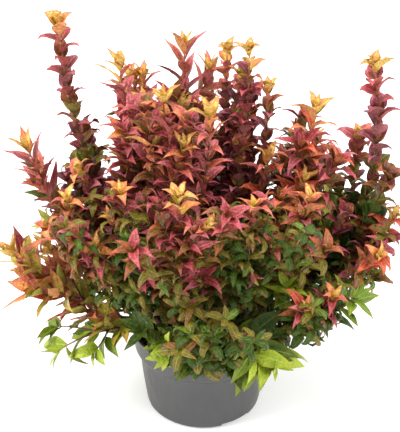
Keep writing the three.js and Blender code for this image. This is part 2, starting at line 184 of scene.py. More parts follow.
pot_plastic, tree, shader = new_material("pot_plastic", (0.031, 0.0295, 0.0305), 0.4)
mould = add_noise(tree, 38, 4)
vary_colour(tree, shader, mould, (0.027, 0.0255, 0.0265), (0.035, 0.0335, 0.0345))
shader.inputs["Specular IOR Level"].default_value = 0.75
vary_roughness(tree, shader, add_noise(tree, 160, 3, (1, 1, 0.15)), 0.36, 0.5)
add_bump(tree, shader, add_noise(tree, 2600, 2), 0.00006)

pot_faces = grid_faces(len(profile), len(bearings))
pot = make_piece("pot_shell", pot_points, pot_faces, [pot_plastic], weld=0.02)
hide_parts("pot")


# The potting soil
# Dark peat with bits of bark fills the pot to 20 mm below its lip. Its top is lumpy, and crumbs and chips
# of bark lie loose on it.
SOIL_LEVEL, SOIL_GAP, SOIL_SHOULDER, SOIL_BEVEL = 120, 0.4, 4, 0.6
SOIL_FLOOR, SOIL_FOOT = 9, [(88, 9.6), (70, 9.2), (0, 9.2)]
SOIL_RINGS, SOIL_SIDES = 40, 120
LUMPS, FINE_LUMPS, FINENESS, LUMP_FADE = 1.6, 0.9, 3.1, 6
RIPPLES = 9
CHIPS, CHIP_REACH, CHIP_LIFT = 420, 104, 0.6
CHIP_LEAST, CHIP_MOST = (1.4, 0.9, 0.4), (5.2, 2.6, 1.3)


def ripple(x, y, seed):
    """A lumpy height between about -1 and 1: the sum of nine sine waves of random direction and length."""
    draw = np.random.default_rng(seed)
    total = 0
    for _ in range(RIPPLES):
        bearing, pitch, shift = draw.uniform(0, 2 * np.pi), draw.uniform(9, 42), draw.uniform(0, 2 * np.pi)
        total = total + np.sin((x * np.cos(bearing) + y * np.sin(bearing)) * 2 * np.pi / pitch + shift)
    return total / (RIPPLES / 2)


wall = inside[inside[:, 1] > SOIL_FLOOR]
side = wall[wall[:, 1] < SOIL_LEVEL - SOIL_SHOULDER] - (SOIL_GAP, 0)
edge_radius = np.interp(SOIL_LEVEL, wall[::-1, 1], wall[::-1, 0]) - SOIL_GAP
top_radii = np.linspace(0, edge_radius - SOIL_BEVEL, SOIL_RINGS)
top = np.column_stack([top_radii, np.full(SOIL_RINGS, float(SOIL_LEVEL))])
soil_profile = np.vstack([top, side, SOIL_FOOT])
turn = np.linspace(0, 2 * np.pi, SOIL_SIDES, endpoint=False)[None, :]
radius, height = soil_profile[:, :1] + 0 * turn, soil_profile[:, 1:] + 0 * turn
x, y = radius * np.cos(turn), radius * np.sin(turn)
fade = np.clip((edge_radius - radius) / LUMP_FADE, 0, 1)
on_top = (np.arange(len(soil_profile)) < len(top))[:, None] * fade
height = height + on_top * (LUMPS * ripple(x, y, 5) + FINE_LUMPS * ripple(FINENESS * x, FINENESS * y, 6))
soil_points = np.stack([x, y, height], axis=-1).reshape(-1, 3)
soil_faces = grid_faces(len(soil_profile), turn.size)[:, ::-1]

peat, tree, shader = new_material("peat", (0.035, 0.022, 0.014), 0.95)
crumbs = add_noise(tree, 420, 6)
vary_colour(tree, shader, crumbs, (0.014, 0.009, 0.006), (0.085, 0.052, 0.032))
add_bump(tree, shader, crumbs, 0.0018)
soil = make_piece("soil", soil_points, soil_faces, [peat], weld=0.02)
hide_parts("potting_soil")

draw = np.random.default_rng(41)
spot_radius = CHIP_REACH * np.sqrt(draw.uniform(0, 1, CHIPS))
spot_turn = draw.uniform(0, 2 * np.pi, CHIPS)
x, y = spot_radius * np.cos(spot_turn), spot_radius * np.sin(spot_turn)
size = draw.uniform(CHIP_LEAST, CHIP_MOST, (CHIPS, 3))
spin, tilt = draw.uniform(0, 2 * np.pi, CHIPS), draw.uniform(-0.5, 0.5, CHIPS)
fade = np.clip((edge_radius - spot_radius) / LUMP_FADE, 0, 1)
level = SOIL_LEVEL + CHIP_LIFT + LUMPS * ripple(x, y, 5) * fade
corner = np.array([(a, b, c) for c in (-1, 1) for b in (-1, 1) for a in (-1, 1)], float)
lumps = corner[None] * size[:, None] * draw.uniform(0.6, 1, (CHIPS, 8, 1))
along = lumps[..., 0] * np.cos(tilt)[:, None]
chip_points = np.stack([
    x[:, None] + along * np.cos(spin)[:, None] - lumps[..., 1] * np.sin(spin)[:, None],
    y[:, None] + along * np.sin(spin)[:, None] + lumps[..., 1] * np.cos(spin)[:, None],
    level[:, None] + lumps[..., 0] * np.sin(tilt)[:, None] + lumps[..., 2],
], axis=-1).reshape(-1, 3)
box = np.array([(0, 2, 3, 1), (4, 5, 7, 6), (0, 1, 5, 4), (2, 6, 7, 3), (0, 4, 6, 2), (1, 3, 7, 5)])
chip_faces = (box[None] + 8 * np.arange(CHIPS)[:, None, None]).reshape(-1, 4)
bark_chip, tree, shader = new_material("bark_chip", (0.09, 0.05, 0.03), 0.9)
vary_colour(tree, shader, add_noise(tree, 90, 2), (0.035, 0.02, 0.012), (0.17, 0.1, 0.06))
chips = make_piece("bark_chips", chip_points, chip_faces, [bark_chip])


# The canes
# Thin woody stems rise from one root, apart at their feet, and fan out over the rim. Their bark is
# red-brown and finely ridged, with a low swelling at each old leaf scar. Each cane's line runs on as the
# leader of its foliage.
CLEARANCE = 0.3
LONGEST_REACH = 300
FOOT_SPREAD, FOOT_SPACING, FOOT_LIMIT, FOOT_ROUNDS = 62, 15, 74, 60
CANE_FOOT_RADIUS, CANE_END_RADIUS, CANE_FLARE, CANE_FLARE_SHARE = 3.4, 2.6, 1.9, 0.12
ARCH_HEIGHT = 62
# How each habit grows: the bare share of its line, where on it the side shoots fork, how far they spread and
# drop from its tip, and how far along and how high its middle point stands.
HABITS = {
    "whip": dict(bare=0.24, fork=0.34, spread=66, drop=150, bow=0.98, rise=0.46),
    "curled": dict(bare=0.28, fork=0.4, spread=72, drop=45, bow=0.8, rise=0.46),
    "slender": dict(bare=0.26, fork=0.4, spread=52, drop=84, bow=0.8, rise=0.46),
    "straight": dict(bare=0.28, fork=0.42, spread=74, drop=40, bow=0.6, rise=0.58),
    "drooping": dict(bare=0.3, fork=0.5, spread=60, drop=-18, bow=0.5, rise=1.5),
}
# Each cane's name, bearing, reach, height and habit, the bearing of its first side shoot, and what it does
# in its own way.
FRONT_CANES = [
    ("left_whip", 171, 204, 634, "whip", 290, {"drop": 205, "spread": 46}),
    ("centre_whip", 31, 74, 592, "whip", -15, {"drop": 44, "spread": 21, "bow": 1.15}),
    ("right_whip", 6, 236, 577, "whip", -42, {"drop": 150, "spread": 34, "bow": 1.43, "rise": 0.3}),
    ("crown_left", 107, 100, 575, "slender", 250, {}),
    ("crown_right", 67, 87, 577, "whip", 215, {"drop": 72, "spread": 32}),
    ("crown_edge", 142, 113, 537, "curled", -20, {}),
    ("left_shoulder", 170, 121, 576, "curled", -60, {}),
    ("right_shoulder", 5, 162, 512, "curled", 190, {"spread": 50, "drop": 64}),
    ("left_flank", 179, 256, 448, "straight", 300, {"bow": 0.82, "spread": 34, "drop": 58}),
    ("heart", -141, 71, 551, "curled", -20, {"drop": 20, "spread": 50}),
    ("front_leader", -102, 158, 456, "curled", 215, {}),
    ("front_right", -62, 146, 428, "curled", -20, {}),
    ("front_left", -140, 150, 432, "curled", 190, {}),
    ("left_front_flank", -163, 205, 401, "curled", 178, {"spread": 44, "drop": 60}),
    ("right_front_flank", -25, 165, 410, "curled", -70, {}),
    ("right_edge", -2, 284, 346, "curled", -100, {}),
    ("left_edge", -176, 292, 283, "straight", 60, {"bow": 0.75, "bare": 0.16, "drop": 24}),
    ("right_skirt", -35, 226, 278, "curled", 20, {"drop": 0, "spread": 56, "bare": 0.2}),
    ("front_skirt", -88, 200, 258, "curled", 200, {"drop": 0, "spread": 56}),
    ("left_spray", -163, 240, 127, "drooping", -30, {"rise": 1.1, "spread": 52, "bare": 0.2}),
    ("rim_spray_left", -110, 158, 190, "drooping", -30, {"spread": 50, "drop": 0}),
    ("rim_spray_right", -65, 184, 186, "drooping", 30, {"spread": 32, "drop": 4}),
]
# The rings of canes behind, each with its name, how many they are, their first and last bearing, their
# reach, height and habit. The jitter is of bearing, reach and height.
BACK_RINGS = [
    ("back_shoulder", 3, 36, 146, 218, 412, "curled"),
    ("back_skirt", 4, 26, 156, 276, 262, "straight"),
]
RING_JITTER = (7, 14, 24)
RING_SEED, RING_SIDE_TURN = 702, 80


def seeded(seed):
    """A repeatable run of numbers between 0 and 1: a 32-bit counter whose bits are stirred by two
    products."""
    state, mask = seed, 0xFFFFFFFF
    while True:
        state = (state + 0x6D2B79F5) & mask
        t = ((state ^ (state >> 15)) * (state | 1)) & mask
        t ^= (t + (((t ^ (t >> 7)) * (t | 61)) & mask)) & mask
        yield ((t ^ (t >> 14)) & mask) / 4294967296


def settle_feet(canes):
    """The feet start where each cane's line leaves the soil, and each close pair is pushed apart to its
    spacing."""
    feet = []
    for cane in canes:
        bearing = np.radians(cane[1])
        feet.append(np.array([np.cos(bearing), np.sin(bearing)]) * FOOT_SPREAD * cane[2] / LONGEST_REACH)
    for _ in range(FOOT_ROUNDS):
        for i in range(len(feet)):
            for j in range(i + 1, len(feet)):
                apart = feet[j] - feet[i]
                far = np.hypot(*apart)
                if far < FOOT_SPACING:
                    apart = apart / far * (FOOT_SPACING - far) / 2
                    feet[i], feet[j] = feet[i] - apart, feet[j] + apart
        feet = [f * min(1, FOOT_LIMIT / max(np.hypot(*f), 1e-9)) for f in feet]
    return feet


def on_curve(line, t):
    """Points of a three-point curve: (1-t)^2 start + 2t(1-t) middle + t^2 end."""
    t = np.asarray(t, float)[..., None]
    return (1 - t) ** 2 * line[0] + 2 * t * (1 - t) * line[1] + t**2 * line[2]


def along_curve(line, t):
    """The curve's direction, of length 1."""
    t = np.asarray(t, float)[..., None]
    way = (1 - t) * (line[1] - line[0]) + t * (line[2] - line[1])
    return way / np.linalg.norm(way, axis=-1, keepdims=True)


def curve_length(line):
    """The curve's length: the sum of 200 straight steps along it."""
    return np.linalg.norm(np.diff(on_curve(line, np.linspace(0, 1, 201)), axis=0), axis=1).sum()


def tube(line, shares, radii, sides, relief=None):
    """Points round a curve: at each share of it a ring of so many sides, square to it. Radii has one radius
    for each ring, and relief one factor for each point."""
    centre, way = on_curve(line, shares), along_curve(line, shares)
    across = np.cross(along_curve(line, 0.0), along_curve(line, 1.0))
    if np.linalg.norm(across) < 1e-3:
        across = np.cross((0.3, 0.2, 0.9), along_curve(line, 0.0))
    across = across / np.linalg.norm(across)
    beside = np.cross(across, way)
    turn = np.linspace(0, 2 * np.pi, sides, endpoint=False)
    out = np.cos(turn)[None, :, None] * across + np.sin(turn)[None, :, None] * beside[:, None, :]
    reach = radii[:, None] * (1 if relief is None else relief)
    return centre[:, None, :] + out * np.broadcast_to(reach, (len(shares), sides))[..., None]


canes = list(FRONT_CANES)
for k, (name, count, first, last, reach, tall, habit) in enumerate(BACK_RINGS):
    random = seeded(RING_SEED + k)
    for i in range(count):
        bearing = first + (last - first) * i / (count - 1) + RING_JITTER[0] * (2 * next(random) - 1)
        far = reach + RING_JITTER[1] * (2 * next(random) - 1)
        high = tall + RING_JITTER[2] * (2 * next(random) - 1)
        canes.append((f"{name}_{i + 1}", bearing, far, high, habit, bearing + RING_SIDE_TURN, {}))


def grows(cane):
    """How a cane grows: as its habit does, but for what it does in its own way."""
    return {**HABITS[cane[4]], **cane[6]}


lines = []
for cane, foot in zip(canes, settle_feet(canes)):
    name, bearing, reach, tall, habit = cane[:5]
    start = np.array([foot[0], foot[1], SOIL_LEVEL + CLEARANCE])
    tip = np.array([reach * np.cos(np.radians(bearing)), reach * np.sin(np.radians(bearing)), tall])
    middle = start + (tip - start) * grows(cane)["bow"]
    rise = grows(cane)["rise"]
    arched = SOIL_LEVEL + ARCH_HEIGHT * rise
    middle[2] = arched if habit == "drooping" else start[2] + (tip[2] - start[2]) * rise
    lines.append(np.array([start, middle, tip]))


def tubes_joined(rings):
    """Many tubes of one number of sides as one run of points and faces, each closed by a flat end at both
    ends."""
    points, faces, count = [], [], 0
    for ring in rings:
        rows, sides = ring.shape[:2]
        first, last = (ring[[end]].mean(axis=1, keepdims=True).repeat(sides, 1) for end in (0, -1))
        whole = np.concatenate([first, ring, last])
        points.append(whole.reshape(-1, 3))
        faces.append(grid_faces(rows + 2, sides) + count)
        count += whole.shape[0] * sides
    return np.vstack(points), np.vstack(faces)


CANE_SIDES, CANE_RINGS, CANE_SUNK, RELIEF_ROOM = 12, 46, 0.012, 0.97
SCAR_SPACING, SCAR_SHIFT, SCAR_TURN, SCAR_WIDTH, SCAR_SWELL = 12.5, 0.37, 2.4, 1.9, 0.16
RIDGES, RIDGE_TWIST, RIDGE_SWELL = 4, 0.11, 0.05
rings = []
for k, (cane, line) in enumerate(zip(canes, lines)):
    bare = grows(cane)["bare"]
    shares = np.linspace(-CANE_SUNK, bare, CANE_RINGS)
    share = np.clip(shares / bare, 0, 1)
    radii = CANE_FOOT_RADIUS + (CANE_END_RADIUS - CANE_FOOT_RADIUS) * share
    radii = radii + CANE_FLARE * np.clip(1 - share / CANE_FLARE_SHARE, 0, 1)
    run = share[:, None] * curve_length(line) * bare
    turn = np.linspace(0, 2 * np.pi, CANE_SIDES, endpoint=False)[None, :]
    ridges = RIDGE_SWELL * np.sin(RIDGES * turn + RIDGE_TWIST * run + k)
    scar = run / SCAR_SPACING + k * SCAR_SHIFT
    near = np.exp(-((np.abs(scar % 1 - 0.5) * SCAR_SPACING / SCAR_WIDTH) ** 2))
    scars = SCAR_SWELL * near * np.clip(0.35 + np.cos(turn - SCAR_TURN * np.floor(scar)), 0, 1)
    rings.append(tube(line, shares, radii * RELIEF_ROOM, CANE_SIDES, 1 + ridges + scars))
cane_points, cane_faces = tubes_joined(rings)

cane_bark, tree, shader = new_material("cane_bark", (0.12, 0.055, 0.035), 0.62)
fibres = add_noise(tree, 700, 4, (1, 1, 0.12))
vary_colour(tree, shader, fibres, (0.06, 0.026, 0.018), (0.2, 0.1, 0.065))
add_bump(tree, shader, fibres, 0.0004)
cane_piece = make_piece("canes", cane_points, cane_faces, [cane_bark], weld=0.01)
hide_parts(*[f"cane_{cane[0]}" for cane in canes])


# The twigs
# Each leader branches by the same rule as the solids, carried on to more side shoots and to short spurs
# within the same reach. The wood is brown below, and the youngest growth near each tip is pink-red.
GOLDEN_ANGLE = 137.508
TIP_INSET = 14
SIDE_SPREAD_JITTER, SIDE_DROP_JITTER, SIDE_MIDDLE, SIDE_BULGE, SHOOT_REACH = 16, 22, 0.48, 0.14, 270
SIDES, MORE_SIDES, SPURS, LOW_SPURS = 2, 5, 11, 6
SHOOT_SEED, SHOOT_SEED_STEP = 11, 17
ROOM_FROM, ROOM_RUN = 220, 230
SPUR_TOP, WHIP_SPUR_TOP, SPUR_END = 0.8, 0.46, 0.97
SPUR_SIZE, SPUR_SIZE_RANGE, LOW_SPUR_SIZE, LOW_SPUR_SIZE_RANGE = 44, 46, 40, 34
# What some canes have of their own: how many further side shoots and spurs, how far those side shoots
# spread and reach, and where a single spur leaves its leader, with its bearing and size.
OWN_COUNTS = {
    "left_whip": (3, 6), "right_whip": (3, 5), "centre_whip": (3, 7), "crown_left": (3, 7),
    "crown_right": (3, 7), "right_shoulder": (6, 14), "left_flank": (0, 2), "left_edge": (4, 4),
    "right_edge": (5, 15), "left_spray": (0, 1), "rim_spray_left": (1, 3), "rim_spray_right": (1, 1),
}
OWN_REACH = {"right_whip": (1.9, 262), "left_shoulder": (0.6, 112)}
OWN_SPURS = {("crown_left", 6): (0.8, 0, 76)}
TWIG_SIDES, TWIG_RINGS, YOUNG_SHARE = 6, 12, 0.3


def side_line(leader, fork, bearing, spread, drop, limit):
    """A side shoot leaves the leader at its fork, bows out by a share of its length, and ends beside the
    leader's tip, spread away from it and drop below, no further out than limit."""
    away = np.array([np.cos(np.radians(bearing)), np.sin(np.radians(bearing)), 0.0])
    root, tip = on_curve(leader, fork), on_curve(leader, 1.0) + away * spread
    tip[:2] *= min(1, limit / max(np.hypot(tip[0], tip[1]), 1e-9))
    tip[2] -= drop
    middle = root + (tip - root) * SIDE_MIDDLE + away * SIDE_BULGE * np.linalg.norm(tip - root)
    return np.array([root, middle, tip])


def spur_line(leader, share, bearing, size, limit):
    """A short spur leaves the leader sideways and turns up beside it: it ends half its size away and 0.7 of
    it on."""
    away = np.array([np.cos(np.radians(bearing)), np.sin(np.radians(bearing)), 0.0])
    root, on = on_curve(leader, share), along_curve(leader, share)
    tip = root + size * (0.5 * away + 0.7 * on)
    tip[:2] *= min(1, limit / max(np.hypot(tip[0], tip[1]), 1e-9))
    return np.array([root, root + size * (0.42 * away + 0.14 * on), tip])


shoots = []
for index, (cane, leader) in enumerate(zip(canes, lines)):
    before = len(shoots)
    habit = grows(cane)
    random = seeded(SHOOT_SEED + SHOOT_SEED_STEP * index)
    last = 1 - TIP_INSET / curve_length(leader)
    phase = 360 * next(random)
    shoots.append(dict(line=leader, first=habit["bare"], last=last, phase=phase, cane=cane, kind="leader"))
    room = np.clip((cane[3] - ROOM_FROM) / ROOM_RUN, 0.1, 1)
    limit = min(SHOOT_REACH, 0.9 * cane[2] + 12)
    more, spurs = OWN_COUNTS.get(cane[0], (MORE_SIDES, SPURS))
    widening, limit = OWN_REACH.get(cane[0], (1.0, limit))
    for i in range(SIDES + more):
        spread = habit["spread"] + SIDE_SPREAD_JITTER * (2 * next(random) - 1)
        drop = habit["drop"] + SIDE_DROP_JITTER * (2 * next(random) - 1)
        fork = habit["fork"] + 0.1 * i + 0.05 * next(random)
        if i >= SIDES:
            fork = habit["fork"] - 0.06 + 0.1 * (i - SIDES) + 0.04 * next(random)
            spread *= (0.45 + 0.5 * next(random)) * widening
            drop += (20 + 90 * next(random)) * room
        kind, furthest = ("side", SHOOT_REACH) if i < SIDES else ("more", limit)
        line = side_line(leader, fork, cane[5] + i * GOLDEN_ANGLE, spread, drop, furthest)
        last = 1 - TIP_INSET / curve_length(line)
        phase = 360 * next(random)
        shoots.append(dict(line=line, first=0.0, last=last, phase=phase, cane=cane, kind=kind))
    low, high = habit["bare"] + 0.03, WHIP_SPUR_TOP if cane[4] == "whip" else SPUR_TOP
    for i in range(spurs):
        share = low + (high - low) * (i + next(random)) / spurs
        place = (share, cane[5] + 60 + i * GOLDEN_ANGLE, SPUR_SIZE + SPUR_SIZE_RANGE * next(random))
        line = spur_line(leader, *OWN_SPURS.get((cane[0], i), place), limit)
        phase = 360 * next(random)
        shoots.append(dict(line=line, first=0.0, last=SPUR_END, phase=phase, cane=cane, kind="spur"))
    for i in range(LOW_SPURS * (habit["rise"] < 1)):
        share = 0.1 + habit["bare"] * (i + next(random)) / LOW_SPURS
        size = LOW_SPUR_SIZE + LOW_SPUR_SIZE_RANGE * next(random)
        line = spur_line(leader, share, cane[5] + 200 + i * GOLDEN_ANGLE, size, limit)
        phase = 360 * next(random)
        shoots.append(dict(line=line, first=0.0, last=SPUR_END, phase=phase, cane=cane, kind="low"))
    for i, shoot in enumerate(shoots[before:]):
        shoot["number"], shoot["seed"] = i, 100 * index + i

TWIG_RADII = {
    "leader": (2.5, 1.0), "side": (1.5, 0.8), "more": (1.4, 0.8), "spur": (1.1, 0.7), "low": (1.1, 0.7),
}
rings, young = [], []
for shoot in shoots:
    shares = np.linspace(shoot["first"], shoot["last"], TWIG_RINGS)
    rings.append(tube(shoot["line"], shares, np.linspace(*TWIG_RADII[shoot["kind"]], TWIG_RINGS), TWIG_SIDES))
    rows = np.arange(TWIG_RINGS + 1) / (TWIG_RINGS + 1)
    young.append(np.repeat(rows > 1 - YOUNG_SHARE * (shoot["kind"] not in ("spur", "low")), TWIG_SIDES))
twig_points, twig_faces = tubes_joined(rings)
twig_wood, tree, shader = new_material("twig_wood", (0.13, 0.05, 0.03), 0.55)
vary_colour(tree, shader, add_noise(tree, 300, 3, (1, 1, 0.3)), (0.08, 0.03, 0.02), (0.2, 0.085, 0.05))
twig_young, tree, shader = new_material("twig_young", (0.36, 0.08, 0.07), 0.45)
vary_colour(tree, shader, add_noise(tree, 120, 2), (0.24, 0.05, 0.045), (0.42, 0.14, 0.08))
is_young = np.concatenate(young)
twigs = make_piece("twigs", twig_points, twig_faces, [twig_wood, twig_young], is_young, weld=0.01)
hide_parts(*[f"foliage_{cane[0]}" for cane in canes])


# The leaves
# Leathery evergreen leaves stand round each shoot by the golden angle. Most are puckered, clasp the stem
# and curl outwards to a fine point; those of the straight shoots are flatter and longer. New growth is
# gold, then coral and crimson, and turns bronze and green with age and towards the shade; the darker
# greens low in the plant are partly painted shade.
LEAF_ROWS = np.array([0, 0.08, 0.19, 0.33, 0.49, 0.66, 0.83, 1.0])
LEAF_COLUMNS = np.array([-1, -0.62, -0.07, 0.07, 0.62, 1.0])
LEAF_THICKNESS = 0.5
LEAF_WAVES, LEAF_PUCKER, LEAF_CREASE = 11, 0.045, 0.03
ROOT_WIDTH, TIP_WIDTH, LEAST_ARC = 0.09, 0.02, 0.05


def leaf_template():
    """One leaf as a closed shell over a grid: the upper side's points, then the under side's inner points,
    with the faces of both, the zone of each face and each point's place on the grid. The zones are the
    blade, its margin and tip, the part by the root, the under side and the midrib."""
    rows, columns = len(LEAF_ROWS), len(LEAF_COLUMNS)
    upper = np.arange(rows * columns).reshape(rows, columns)
    under = upper.copy()
    under[1:-1, 1:-1] = rows * columns + np.arange((rows - 2) * (columns - 2)).reshape(rows - 2, columns - 2)
    quads, zones = [], []
    for r in range(rows - 1):
        for c in range(columns - 1):
            quads.append((upper[r, c], upper[r, c + 1], upper[r + 1, c + 1], upper[r + 1, c]))
            outer = c in (0, columns - 2) or r >= rows - 3
            rib = c == (columns - 2) / 2 and 0 < r < rows - 2
            zones.append(4 if rib else 1 if outer and r > 0 else 2 if r < 3 else 0)
            quads.append((under[r, c], under[r + 1, c], under[r + 1, c + 1], under[r, c + 1]))
            zones.append(3)
    inner = [(r, c) for r in range(1, rows - 1) for c in range(1, columns - 1)]
    place = [(r, c) for r in range(rows) for c in range(columns)] + inner
    side = np.array([0] * (rows * columns) + [1] * len(inner))
    return np.array(quads), np.array(zones), np.array(place), side


LEAF_QUADS, LEAF_ZONES, LEAF_PLACE, LEAF_SIDE = leaf_template()


def running_sum(steps):
    """The sums of the steps so far, row by row, from nought."""
    return np.concatenate([np.zeros_like(steps[:, :1]), np.cumsum(steps, axis=1)], axis=1)


def leaf_points(root, along, up, **shape):
    """Leaves by the hundred, as arrays of leaf, row and column. The centre line turns away from the leaf's
    upper side by an angle that grows as u to the power late. The half width is sin(pi u^belly) with a
    drawn-out tip. The section is an arc of a circle whose bend runs from cup at the root to roll at the
    tip. The margin waves as a sine along it, the blade is puckered between its veins and creased at the
    midrib, and it is twisted about its centre line by a share u of twist."""
    keys = ("length", "width", "belly", "curl", "late", "cup", "roll", "wave", "bend", "twist", "phase")
    length, width, belly, curl, late, cup, roll, wave, bend, twist, phase = (
        shape[key][:, None, None] for key in keys
    )
    root, along, up = root[:, None], along[:, None], up[:, None]
    u, v = LEAF_ROWS[:, None], LEAF_COLUMNS[None, :]
    angle = curl * u**late
    middle, step = (angle[:, 1:] + angle[:, :-1]) / 2, np.diff(u, axis=0) * length
    spine = root + running_sum(np.cos(middle) * step) * along - running_sum(np.sin(middle) * step) * up
    outline = np.abs(np.sin(np.pi * u**belly)) ** 1.1 * (1.04 - 0.3 * u)
    outline = np.maximum(outline, np.where(u < 0.5, ROOT_WIDTH, TIP_WIDTH))
    half, arc = outline * width / 2, cup * (1 - u) + roll * u
    arc = np.where(np.abs(arc) < LEAST_ARC, LEAST_ARC, arc)
    swell = np.sin(np.pi * u) * width
    pucker = np.where(np.arange(len(u)) % 2, LEAF_PUCKER, -LEAF_PUCKER)[:, None] * (np.abs(v) == 0.62)
    pucker = pucker - LEAF_CREASE * (np.abs(v) < 0.1)
    across = half * np.sin(arc * v) / arc + bend * length * u**2
    lift = half * (1 - np.cos(arc * v)) / arc
    lift = lift + swell * (wave * np.sin(LEAF_WAVES * u + phase) * v**2 + pucker)
    beside, face = np.cross(up, along), np.sin(angle) * along + np.cos(angle) * up
    beside, face = (
        np.cos(twist * u) * beside + np.sin(twist * u) * face,
        np.cos(twist * u) * face - np.sin(twist * u) * beside,
    )
    whole = spine[:, :, None] + across[..., None] * beside[:, :, None] + lift[..., None] * face[:, :, None]
    rows, columns = LEAF_PLACE[:, 0], LEAF_PLACE[:, 1]
    return whole[:, rows, columns] - LEAF_THICKNESS * LEAF_SIDE[:, None] * face[:, rows]


# How the leaves of each habit are set: length and width, the angle they open to, how far and how late they
# curl, how they cup at the root and roll at the tip, how their margins wave, how far they turn their upper
# sides to the sky, and how many open before they are full grown.
LEAF_SET = {
    "whip": dict(
        length=43, width=27, belly=0.62, open=27, curl=120, late=2.2,
        cup=1.15, roll=-0.5, wave=0.05, upward=0.05, ripen=6),
    "curled": dict(
        length=44, width=18, belly=0.62, open=30, curl=132, late=1.75,
        cup=1.35, roll=-0.6, wave=0.1, upward=0.1, ripen=6),
    "slender": dict(
        length=50, width=17, belly=0.72, open=27, curl=48, late=1.6,
        cup=0.8, roll=-0.2, wave=0.04, upward=0.1, ripen=7),
    "straight": dict(
        length=57, width=21, belly=0.84, open=38, curl=34, late=1.5,
        cup=0.55, roll=0.1, wave=0.03, upward=0.45, ripen=7),
    "drooping": dict(
        length=62, width=27, belly=0.84, open=50, curl=40, late=1.5,
        cup=0.4, roll=0.05, wave=0.03, upward=0.6, ripen=5),
}
# What some masses have of their own: drooping leaves on their side shoots, the size of their leaves and of
# those on side shoots, a share of the usual curl, the spacing, and the share of its droop that a leaf under
# its shoot loses.
FLAT_LEAVED, FLAT_SIZE = {"right_skirt": "side"}, 0.8
LEAF_SIZE = {
    "rim_spray_left": 0.72, "rim_spray_right": 1.12, "front_skirt": 1.1, "centre_whip": 0.84,
    "crown_right": 0.84, "left_shoulder": 1.1, "crown_edge": 1.1, "right_shoulder": 1.15, "heart": 1.05,
    "crown_left": 1.15, "left_flank": 0.95, "left_edge": 0.95, "back_skirt_4": 0.8,
}
SIDE_SIZE = {"left_flank": 0.66, "left_spray": 0.75}
LESS_CURL = {
    "heart": 0.6, "left_shoulder": 0.6, "crown_edge": 0.6, "right_shoulder": 0.75, "front_leader": 0.8,
}
LEAF_SPACING, SPUR_SPACING, TIP_LEAVES, TIP_RUN, MOST_LEAVES, BARE_FOOT = 9, 8, 6, 12, 60, 14
OLD_AT, OLD_RUN, NEW_LEAF_SIZE = 130, 80, 0.38
OWN_SPACING = {"left_spray": 24, "left_edge": 10, "rim_spray_right": 13}
LIFT = {"left_spray": 0.75, "left_edge": 0.6, "left_flank": 0.6}

# From the tip of each shoot down: a close tuft, then a leaf at each spacing with some jitter, each turned on
# by the golden angle from the one before.
grown_leaves = []
for number, shoot in enumerate(shoots):
    draw = np.random.default_rng(shoot["seed"])
    shoot["haste"] = np.exp(draw.normal(0, 0.25))
    shoot["luck"], shoot["skip"] = draw.uniform(), draw.uniform(30, 120)
    size = curve_length(shoot["line"])
    top = shoot["last"] * size
    low = (shoot["first"] + 0.02) * size if shoot["kind"] == "leader" else BARE_FOOT
    spacing = SPUR_SPACING if shoot["kind"] in ("spur", "low") else LEAF_SPACING
    spacing = OWN_SPACING.get(shoot["cane"][0], spacing)
    down = TIP_RUN + spacing * np.arange(1, MOST_LEAVES)
    down = np.concatenate([np.linspace(0, TIP_RUN, TIP_LEAVES), down])
    down = down[top - down > low]
    order = np.arange(len(down))
    down = down + draw.uniform(-2, 2, len(down)) * (order > TIP_LEAVES)
    t = (top - down) / size
    root, way = on_curve(shoot["line"], t), along_curve(shoot["line"], t)
    turn = np.radians(shoot["phase"] + order * GOLDEN_ANGLE + draw.normal(0, 9, len(down)))
    shoot["leaves"] = "drooping" if FLAT_LEAVED.get(shoot["cane"][0]) == shoot["kind"] else shoot["cane"][4]
    flat = np.stack([np.cos(turn), np.sin(turn), 0 * turn], axis=-1)
    out = flat - way * (flat * way).sum(axis=1, keepdims=True)
    out[:, 2] *= 1 - LIFT.get(shoot["cane"][0], 0) * (out[:, 2] < 0)
    out /= np.linalg.norm(out, axis=1, keepdims=True)
    habit = np.full(len(down), list(LEAF_SET).index(shoot["leaves"]))
    grown_leaves.append(dict(
        habit=habit, shoot=np.full(len(down), number), order=order, down=down, root=root, way=way, out=out,
        bell=draw.normal(0, 1, (len(down), 9)), even=draw.uniform(0, 1, (len(down), 6))))
leaf = {key: np.concatenate([g[key] for g in grown_leaves]) for key in grown_leaves[0]}
total = len(leaf["order"])
bell, even = leaf["bell"].T, leaf["even"].T


def set_of(key):
    """Each leaf's value of one key, from the set of its habit."""
    return np.array([LEAF_SET[h][key] for h in LEAF_SET], float)[leaf["habit"]]


def is_habit(*names):
    """True for each leaf whose habit is one of the names."""
    return np.isin(leaf["habit"], [list(LEAF_SET).index(name) for name in names])


def own_of(values):
    """Each shoot's value by the name of its cane, or 1 where the values have none."""
    return np.array([values.get(s["cane"][0], 1.0) for s in shoots])


# How fast the colours go by: a mass of haste 1 takes the distances of its fade as they are, in millimetres
# from the tip. Shade low in the plant hastens them, partly as shaded leaves really green and partly as
# painted shade that darkens the leaves low down, and a settled shoot has no new growth left.
HASTE = {
    "left_whip": 1.0, "right_whip": 1.1, "centre_whip": 0.85, "crown_right": 0.85, "crown_edge": 0.8,
    "crown_left": 1.0, "left_shoulder": 0.6, "heart": 0.45, "right_shoulder": 0.45, "front_leader": 0.55,
    "front_left": 1.3, "left_front_flank": 0.8, "front_right": 2.2, "right_front_flank": 1.0,
    "right_edge": 0.6, "right_skirt": 0.9, "front_skirt": 1.5, "left_edge": 0.45, "left_flank": 0.55,
    "rim_spray_left": 2.0, "rim_spray_right": 3.2,
}
